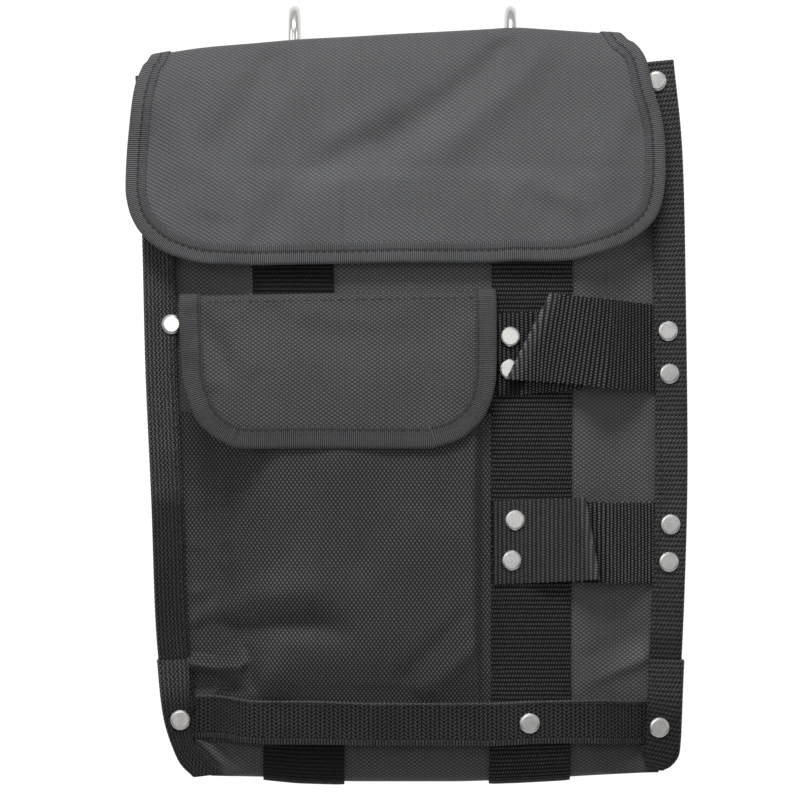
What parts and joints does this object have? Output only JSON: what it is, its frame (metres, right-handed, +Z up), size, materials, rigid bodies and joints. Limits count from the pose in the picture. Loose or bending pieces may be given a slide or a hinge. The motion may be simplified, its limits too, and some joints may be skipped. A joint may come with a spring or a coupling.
{
  "type": "garden tool bag",
  "caption": "Flat hanging tool bag of woven fabric with a main flap, a flapped front pocket, webbing tool loops, riveted webbing edges and steel rod hooks on the back.",
  "frame": {"origin": "middle of the bag's overall width and depth, at the lowest point of the straps under its bottom", "axes": "+X across the bag to the right as seen from the front, +Y towards the back where the hooks are, +Z up from the bottom to the hooks"},
  "size_m": [0.2758, 0.0717, 0.385],
  "materials": {
    "body_fabric": "coated plain-weave polyester, charcoal, faint sheen",
    "flap_fabric": "coated plain-weave polyester, charcoal, faint sheen",
    "edge_tape": "ribbed woven edge tape, dark grey",
    "webbing": "ribbed polypropylene webbing, black",
    "binding_webbing": "ribbed polypropylene webbing, black, folded over the edge",
    "hook_steel": "polished nickel-plated steel rod",
    "rivet_steel": "nickel-plated steel cap, slightly satin"
  },
  "bodies": {
    "bag": {"back_panel": "body_fabric", "front_panel": "body_fabric", "compartment_hem": "edge_tape", "pocket_panel": "body_fabric", "pocket_hem": "edge_tape", "load_strap_left": "webbing", "load_strap_right": "webbing", "bottom_band": "webbing", "side_binding_left": "binding_webbing", "side_binding_right": "binding_webbing", "corner_patch_left": "binding_webbing", "corner_patch_right": "binding_webbing", "tool_loop_upper": "webbing", "tool_loop_lower": "webbing", "edge_rivets": "rivet_steel", "edge_rivet_backs": "rivet_steel", "corner_rivets": "rivet_steel", "corner_rivet_backs": "rivet_steel", "loop_rivets": "rivet_steel", "loop_rivet_backs": "rivet_steel", "band_rivet": "rivet_steel", "band_rivet_back": "rivet_steel", "hanger_rivets": "rivet_steel", "hanger_rivet_backs": "rivet_steel"},
    "main_flap": {"main_flap": "flap_fabric", "main_flap_binding": "edge_tape"},
    "pocket_flap": {"pocket_flap": "flap_fabric", "pocket_flap_binding": "edge_tape"},
    "hook_left": {"hook_left": "hook_steel"},
    "hook_right": {"hook_right": "hook_steel"}
  },
  "joints": [
    {"name": "main_flap_hinge", "type": "hinge", "parent": "bag", "child": "main_flap", "pos_m": [0, -0.00602, 0.36452], "axis": [-1, 0, 0], "range_deg": [0, 170]},
    {"name": "pocket_flap_hinge", "type": "hinge", "parent": "bag", "child": "pocket_flap", "pos_m": [-0.0335, -0.02082, 0.24202], "axis": [-1, 0, 0], "range_deg": [0, 120]},
    {"name": "hook_left_swing", "type": "hinge", "parent": "bag", "child": "hook_left", "pos_m": [-0.0561, 0.00517, 0.31752], "axis": [-1, 0, 0], "range_deg": [0, 130]},
    {"name": "hook_right_swing", "type": "hinge", "parent": "bag", "child": "hook_right", "pos_m": [0.0512, 0.00517, 0.31752], "axis": [-1, 0, 0], "range_deg": [0, 130]}
  ]
}
